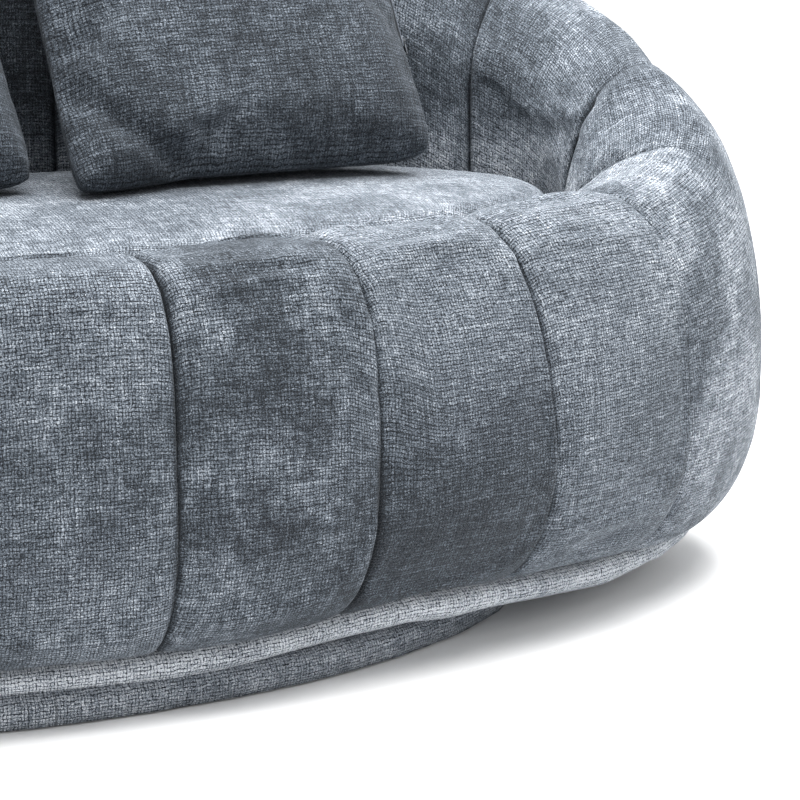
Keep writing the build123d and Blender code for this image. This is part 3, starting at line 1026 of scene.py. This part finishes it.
def pillow_sheets(thickness):
    """Two sheets sewn at their rim, and the grid place of each point."""
    count = PILLOW_CELLS + 1
    half = PILLOW_SIDE / 2
    points, places, sheet_of = [], [], []
    index = {}
    for sheet in (1, -1):
        for row in range(count):
            for column in range(count):
                rim = row in (0, count - 1) or column in (0, count - 1)
                key = (0 if rim else sheet, row, column)
                if key in index:
                    continue
                a, b = column / (count - 1), row / (count - 1)
                dome = (4 * a * (1 - a) * 4 * b * (1 - b)) ** 0.55
                x = (2 * a - 1) * (half - pillow_border(b))
                y = pillow_side_y(a, b)
                index[key] = len(points)
                points.append((x, y, sheet * thickness * dome if not rim else 0.0))
                places.append((a, b))
                sheet_of.append(0 if rim else sheet)
    faces = []
    for sheet in (1, -1):
        for row in range(count - 1):
            for column in range(count - 1):
                corners = []
                for dr, dc in ((0, 0), (0, 1), (1, 1), (1, 0)):
                    r, c = row + dr, column + dc
                    rim = r in (0, count - 1) or c in (0, count - 1)
                    corners.append(index[(0 if rim else sheet, r, c)])
                faces.append(tuple(corners if sheet == 1 else corners[::-1]))
    return np.array(points), faces, np.array(places), np.array(sheet_of)


def fit_rim(points, a, b):
    """Draws a blown-up pillow's sides back to its sewn rim, and flattens it a little there."""
    half = PILLOW_SIDE / 2
    border_x = (2 * a - 1) * (half - np.array([pillow_border(share) for share in b]))
    border_y = np.array([pillow_side_y(*pair) for pair in zip(a, b)])
    near_x = np.clip(np.abs(2 * a - 1), 0, 1) ** 6
    near_y = np.clip(np.abs(2 * b - 1), 0, 1) ** 6
    points[:, 0] += (border_x - points[:, 0]) * near_x
    points[:, 1] += (border_y - points[:, 1]) * near_y
    edge = np.maximum(np.abs(2 * a - 1), np.abs(2 * b - 1))
    points[:, 2] *= 1 - 0.35 * np.clip((edge - 0.80) / 0.2, 0, 1) ** 2


def pucker_rim(points, a, b, sheets, seed):
    """Small puckers across the sewn rim."""
    along = np.where(np.abs(2 * a - 1) > np.abs(2 * b - 1), b, a)
    edge = np.maximum(np.abs(2 * a - 1), np.abs(2 * b - 1))
    pucker = np.sin(along * 2 * math.pi * 17 + 3 * np.sin(along * 23 + seed)) * PILLOW_PUCKER
    band = np.clip((edge - 0.62) / 0.25, 0, 1) * np.clip((1 - edge) / 0.06, 0, 1)
    points[:, 2] += sheets * pucker * band


def crease_corner(points, a, b, sheets):
    """A crease that runs across the lower left corner, and the corner hanging beyond it."""
    across_corner = (a + b * 1.15) / 0.30
    crease = np.exp(-(((across_corner - 1.0) / 0.16) ** 2)) * (sheets > 0)
    droop = np.clip(1 - across_corner, 0, 1)
    points[:, 2] -= 0.010 * crease
    points[:, 2] += 0.014 * droop * (sheets >= 0)
    points[:, 1] -= 0.010 * droop


def shape_pillow(seed, fold_corner, zip_edge):
    """A stuffed square pillow, standing along +Y with its middle at the origin, facing +Z."""
    start, faces, places, sheets = pillow_sheets(PILLOW_FIRST_HALF)
    ruffle = hills(start, seed, 60, 2)
    start[:, 2] += PILLOW_RUFFLE * ruffle * (sheets != 0)
    points = run_cloth(start, faces, [], **PILLOW_CLOTH)
    points = capped(start, points, PILLOW_CLOTH_MOVE)
    a, b = places[:, 0], places[:, 1]
    fit_rim(points, a, b)
    pucker_rim(points, a, b, sheets, seed)
    # full edges and rounded corners
    thick = np.abs(points[:, 2]) / np.abs(points[:, 2]).max()
    points[:, 2] = PILLOW_HALF * sheets * thick**PILLOW_FULLNESS
    corner = np.minimum(np.abs(2 * a - 1), np.abs(2 * b - 1))
    points[:, :2] *= 1 - PILLOW_CORNER_IN * corner[:, None] ** 9
    # beside the zip the front bulges out over it
    beside_zip = (sheets > 0) * np.exp(-(((1 - zip_edge * (2 * a - 1)) / 0.07) ** 2))
    points[:, 0] += PILLOW_ZIP_BULGE * zip_edge * beside_zip
    if fold_corner:
        crease_corner(points, a, b, sheets)
    seeds = np.full(len(start), float(seed))
    weave = np.stack([start[:, 0], start[:, 1] + 0.6 * (sheets < 0), seeds], axis=1)
    return points, faces, weave


def pillow_matrix(foot, turn, lean):
    leaned, turned = math.radians(lean), math.radians(turn)
    across = Vector((math.cos(turned), math.sin(turned), 0))
    face = Vector(
        (math.sin(turned) * math.cos(leaned), -math.cos(turned) * math.cos(leaned), math.sin(leaned))
    )
    up = face.cross(across)
    stand = Matrix((across, up, face)).transposed().to_4x4()
    stand.translation = Vector(foot)
    return stand


def build_pillow(side, material, seed, fold_corner):
    points, faces, weave = shape_pillow(seed, fold_corner, PILLOW_ZIP_SIDES[side])
    points[:, 1] += PILLOW_SIDE / 2
    stand = pillow_matrix(**PILLOWS[side])
    placed = [stand @ Vector(p) for p in points]
    made = outward_faces(make_object(f"pillow_{side}_fabric", placed, faces, weave))
    smooth_more(made, 2)
    soft_piece(made, material, f"pillow_{side}", (f"pillow_{side}_cover", f"pillow_{side}_insert"))
    return stand


# ---------------------------------------------------------------- zips
TOOTH_SIZE = (0.00105, 0.0021, 0.0010)
TOOTH_PITCH = 0.0015
TOOTH_SHIFT = 0.00055
TOOTH_STANDOFF = 0.0002
BASE_ZIP_HALF_SWING = math.radians(27.6)


def tooth_block(centre, along, out, up):
    """One bevelled tooth: twelve points and its faces."""
    length, width, height = TOOTH_SIZE
    points = []
    for level, shrink in ((0.0, 1.0), (0.7, 1.0), (1.0, 0.6)):
        for sx, sy in ((-1, -1), (1, -1), (1, 1), (-1, 1)):
            side = along * (sx * length / 2 * shrink) + up * (sy * width / 2 * shrink)
            points.append(centre + side + out * (height * level))
    faces = [(3, 2, 1, 0), (8, 9, 10, 11)]
    for level in (0, 1):
        for corner in range(4):
            after = (corner + 1) % 4
            low = level * 4
            faces.append((low + corner, low + after, low + 4 + after, low + 4 + corner))
    return points, faces


def build_teeth(name, path, body, chain_node, material):
    """A row of interlocked teeth along a path of (place, along, out, up)."""
    points, faces = [], []
    for number, (centre, along, out, up) in enumerate(path):
        shift = TOOTH_SHIFT if number % 2 else -TOOTH_SHIFT
        some, local = tooth_block(centre + up * shift, along, out, up)
        faces.extend(tuple(len(points) + i for i in face) for face in local)
        points.extend(some)
    made = outward_faces(make_object(name, points, faces, smooth=False))
    wear(made, material)
    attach(made, body)
    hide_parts(chain_node)


def pillow_teeth(side, stand, material):
    rotation = stand.to_3x3()
    edge = PILLOW_ZIP_SIDES[side]
    along = rotation @ Vector((0, -1, 0))
    out = rotation @ Vector((edge, 0, 0))
    up = rotation @ Vector((0, 0, 1))
    count = int((PILLOW_ZIP_LENGTH - 0.006) / TOOTH_PITCH)
    path = []
    for number in range(count):
        run = -PILLOW_ZIP_LENGTH / 2 + 0.0035 + number * TOOTH_PITCH
        centre = stand @ Vector((edge * (PILLOW_ZIP_EDGE + TOOTH_STANDOFF), PILLOW_SIDE / 2 - run, 0))
        path.append((centre, along, out, up))
    build_teeth(f"pillow_{side}_zip_teeth", path, f"pillow_{side}", f"pillow_{side}_zip_chain", material)


def base_teeth(material):
    _, _, offset, radius = base_outline(16)
    half = BASE_ZIP_HALF_SWING
    count = int(2 * half * radius / TOOTH_PITCH)
    up = Vector((0, 0, 1))
    path = []
    for number in range(count):
        turn = -half + 2 * half * (number + 0.5) / count
        out = Vector((math.sin(turn), math.cos(turn), 0))
        along = Vector((math.cos(turn), -math.sin(turn), 0))
        centre = Vector((0, RING_Y - offset, BASE_ZIP_HEIGHT)) + out * (radius + TOOTH_STANDOFF)
        path.append((centre, along, out, up))
    build_teeth("base_zip_teeth", path, "base", "base_zip_chain", material)


# ---------------------------------------------------------------- stage, light and camera
def build_stage():
    mesh = bpy.data.meshes.new("floor")
    mesh.from_pydata([(-12, -8, 0), (12, -8, 0), (12, 16, 0), (-12, 16, 0)], [], [(0, 1, 2, 3)])
    floor = bpy.data.objects.new("floor", mesh)
    bpy.context.scene.collection.objects.link(floor)
    g = Graph("pale_floor")
    g.shader(Base_Color=(0.90, 0.90, 0.90, 1.0), Roughness=0.9, Specular_IOR_Level=0.1)
    wear(floor, g.material)

    world = bpy.data.worlds.new("studio")
    bpy.context.scene.world = world
    world.use_nodes = True
    sky = world.node_tree.nodes["Background"].inputs
    sky["Color"].default_value = (1.0, 1.0, 1.0, 1.0)
    sky["Strength"].default_value = 1.0

    def area(name, size, energy, place, target):
        light = bpy.data.lights.new(name, "AREA")
        light.shape = "RECTANGLE"
        light.size, light.size_y = size
        light.energy = energy
        made = bpy.data.objects.new(name, light)
        made.location = place
        made.rotation_mode = "QUATERNION"
        made.rotation_quaternion = (Vector(target) - Vector(place)).to_track_quat("-Z", "Y")
        bpy.context.scene.collection.objects.link(made)

    area("overhead", (3.4, 2.6), 330, (0.5, -0.1, 2.9), (0.1, 0, 0.3))
    area("front_fill", (3.0, 2.0), 6, (-1.6, -3.6, 1.9), (0.1, 0, 0.3))


SENSOR_WIDTH = 36.0
FOCAL_TO_WIDTH = 3045.5 / 800


def build_camera():
    data = bpy.data.cameras.new("camera")
    data.sensor_width = SENSOR_WIDTH
    data.lens = FOCAL_TO_WIDTH * SENSOR_WIDTH
    data.clip_start, data.clip_end = 0.05, 60.0
    camera = bpy.data.objects.new("camera", data)
    camera.location = (-0.635, -2.9055, 0.941)
    camera.rotation_euler = (math.pi / 2 - 0.242, 0.0, -0.365)
    bpy.context.scene.collection.objects.link(camera)
    bpy.context.scene.camera = camera


build_camera()
build_stage()
bpy.context.scene.view_settings.view_transform = "Standard"

build_ring()
# the tone shifts here are partly painted light: the lip and base are made lighter than the lobes
build_seat(chenille("chenille_seat", 0.015, 1.1))
build_lip(chenille("chenille_lip", 0.34, 0.6))
build_base(chenille("chenille_base", 0.13, 0.6))

teeth = zip_plastic("zip_teeth_plastic")
for side, seed, fold in (("right", 61, True), ("left", 62, False)):
    # the pillows' dark tone is painted shade
    pillow_stand = build_pillow(side, chenille(f"chenille_pillow_{side}", -0.30, 0.9), seed, fold)
    pillow_teeth(side, pillow_stand, teeth)
base_teeth(teeth)

tape_cloth = zip_cloth("zip_tape_twill")
plated = zip_metal("zip_plated_metal")
for stem in ("base", "pillow_right", "pillow_left"):
    wear(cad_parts[f"{stem}_zip_tape"], tape_cloth)
    wear(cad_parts[f"{stem}_zip_slider"], plated)
    wear(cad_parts[f"{stem}_zip_pull"], plated)
wear(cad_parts["floor_panel"], grip_cloth("floor_grip_cloth"))
